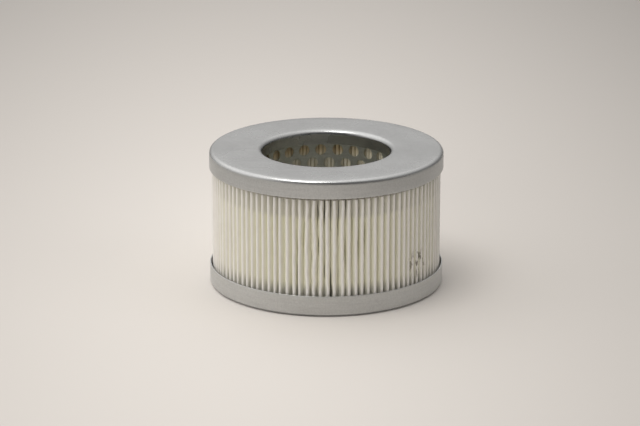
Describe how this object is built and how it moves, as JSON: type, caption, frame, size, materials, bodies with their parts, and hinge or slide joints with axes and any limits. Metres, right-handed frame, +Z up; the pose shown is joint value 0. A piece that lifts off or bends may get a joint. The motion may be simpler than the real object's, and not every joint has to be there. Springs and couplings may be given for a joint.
{
  "type": "pleated filter element",
  "caption": "Cylindrical pleated filter element: folded media round a perforated centre tube, between two stamped sheet metal end caps with an open bore.",
  "frame": {"origin": "centre of the flat face of the bottom end cap, which the element stands on", "axes": "+Z up along the axis of the element; the lap seam of the centre tube faces -Y, the side the picture was taken from"},
  "size_m": [0.1, 0.1, 0.059],
  "materials": {
    "cap_metal": "dull satin tinplate",
    "tube_metal": "dull satin tinplate",
    "media": "cream cellulose media",
    "adhesive": "set adhesive"
  },
  "bodies": {
    "root": {"bottom_end_cap": "cap_metal", "top_end_cap": "cap_metal", "centre_tube": "tube_metal", "pleated_media": "media", "bottom_potting": "adhesive", "top_potting": "adhesive"}
  },
  "joints": []
}
